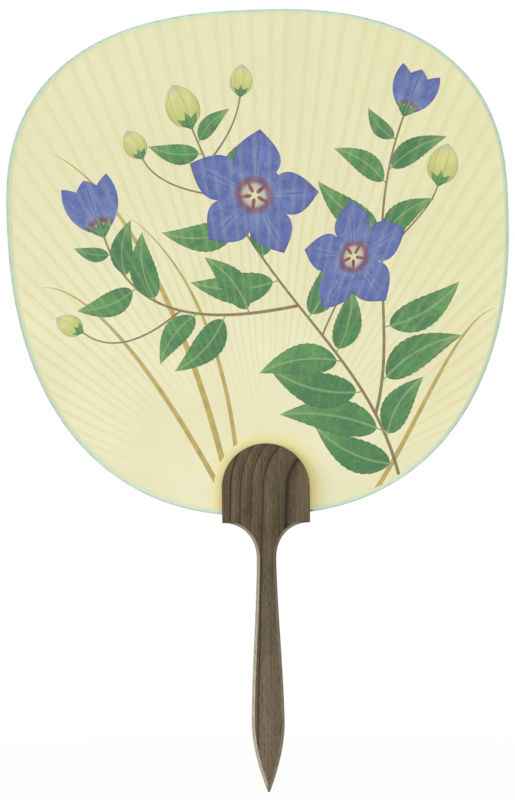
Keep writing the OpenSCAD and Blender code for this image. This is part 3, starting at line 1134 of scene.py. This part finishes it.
def cedar_handle():
    """The board, sawn open from the top of the head to just below the foot of the face."""
    source = placed("cedar_board", handle_mesh())
    half_slot = PAPER_TOP + PAPER_T + SLOT_CLEAR
    floor_z = fan_z - FACE_FOOT - SLOT_FLOOR_GAP
    top_z = handle_high.z / MM + 5
    sides = ((-head_w, head_w), (-half_slot, half_slot), (floor_z, top_z))
    faces = [(0, 1, 3, 2), (4, 6, 7, 5), (0, 4, 5, 1), (2, 3, 7, 6), (0, 2, 6, 4), (1, 5, 7, 3)]
    blade_mesh = bpy.data.meshes.new("saw_cut")
    blade_mesh.from_pydata([Vector(corner) * MM for corner in itertools.product(*sides)], [], faces)
    blade = placed("saw_cut", blade_mesh)
    cut = source.modifiers.new("slot", "BOOLEAN")
    cut.operation = "DIFFERENCE"
    cut.solver = "EXACT"
    cut.object = blade
    piece = made_plain("cedar_handle", source)
    bpy.data.objects.remove(blade)
    piece.data.shade_smooth()
    piece.data.set_sharp_from_angle(angle=SHARP)
    piece.data.materials.clear()
    piece.data.materials.append(cedar())
    return piece


handle = cedar_handle()
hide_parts("handle")
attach(handle, "root")

# The table that the fan stands over, and a soft studio: a broad window light from the left,
# weaker ones from the front and from behind, and an even white room.
FLOOR_SIZE = 4.0
FLOOR_GAP = 0.2 * MM
WHITE = (1.0, 1.0, 1.0, 1.0)
TABLE_WHITE = (0.93, 0.93, 0.93, 1.0)
ROOM_LIGHT = 0.54
LAMP_SIZE = 1.8
MIDDLE = Vector((0.0, 0.0, 0.15))


def seen_directly(start):
    """1 where the white is seen, also in a reflection or through something clear, and 0 as light."""
    names = ("Is Camera Ray", "Is Glossy Ray", "Is Transmission Ray")
    seen, glossy, clear = start.node("ShaderNodeLightPath").outs(*names)
    return start.math("MAXIMUM", seen, start.math("MAXIMUM", glossy, clear))


def floor_material():
    made, place = new_material("white_table")
    x, y, _ = place.parts()
    away = place.math("SQRT", x * x + y * y).step(0.12, 0.6)
    shown = seen_directly(place) * (0.9 + away * 0.1)
    plain = place.node("ShaderNodeBsdfDiffuse", {"Color": TABLE_WHITE})
    white = place.node("ShaderNodeEmission", {"Color": WHITE, "Strength": 1.0})
    mixed = place.node("ShaderNodeMixShader", {0: shown, 1: plain, 2: white})
    place.node("ShaderNodeOutputMaterial", {"Surface": mixed})
    return made


def area_light(name, place, watts):
    lamp = bpy.data.lights.new(name, "AREA")
    lamp.shape = "SQUARE"
    lamp.size = LAMP_SIZE
    lamp.energy = watts
    made = placed(name, lamp)
    made.location = place
    made.rotation_mode = "QUATERNION"
    made.rotation_quaternion = (MIDDLE - Vector(place)).to_track_quat("-Z", "Y")


half = FLOOR_SIZE / 2
floor_z = handle_low.z - FLOOR_GAP
corners = [(-half, -half, floor_z), (half, -half, floor_z), (half, half, floor_z), (-half, half, floor_z)]
floor_mesh = bpy.data.meshes.new("table_top")
floor_mesh.from_pydata(corners, [], [(0, 1, 2, 3)])
floor_mesh.materials.append(floor_material())
floor = placed("table_top", floor_mesh)

area_light("window_left", (-3.0, -0.7, 0.5), 74.0)
area_light("front_soft", (0.5, -3.0, 1.1), 24.0)
area_light("back_soft", (1.8, 2.4, 1.0), 42.0)

world = bpy.data.worlds.new("white_room")
world.use_nodes = True
world.node_tree.nodes.clear()
room = Wire(world.node_tree)
soft = room.node("ShaderNodeBackground", {"Color": WHITE, "Strength": ROOM_LIGHT})
white = room.node("ShaderNodeBackground", {"Color": WHITE, "Strength": 1.0})
sky = room.node("ShaderNodeMixShader", {0: seen_directly(room), 1: soft, 2: white})
room.node("ShaderNodeOutputWorld", {"Surface": sky})
bpy.context.scene.world = world
bpy.context.scene.view_settings.view_transform = "Standard"

# The camera looks straight at the front from a distance, rolled by the little that the handle
# leans in the picture.
PIXEL = 0.478 * MM
PICTURE_W, PICTURE_H = 515, 800
FAN_POINT_PIXEL = (269.2, 513.0)
ROLL = math.radians(0.6)
DISTANCE = 2.6
right = Vector((math.cos(ROLL), 0.0, -math.sin(ROLL)))
up = Vector((math.sin(ROLL), 0.0, math.cos(ROLL)))
fan_point = Vector((FACE_SHIFT * MM, 0.0, fan_z * MM))
aim = fan_point + right * ((PICTURE_W / 2 - FAN_POINT_PIXEL[0]) * PIXEL)
aim = aim + up * ((FAN_POINT_PIXEL[1] - PICTURE_H / 2) * PIXEL)
lens = bpy.data.cameras.new("camera")
lens.sensor_width = 36.0
lens.lens = lens.sensor_width * DISTANCE / (PICTURE_H * PIXEL)
camera = placed("camera", lens)
camera.location = aim + Vector((0.0, -DISTANCE, 0.0))
camera.rotation_euler = (math.radians(90), ROLL, 0.0)
bpy.context.scene.camera = camera
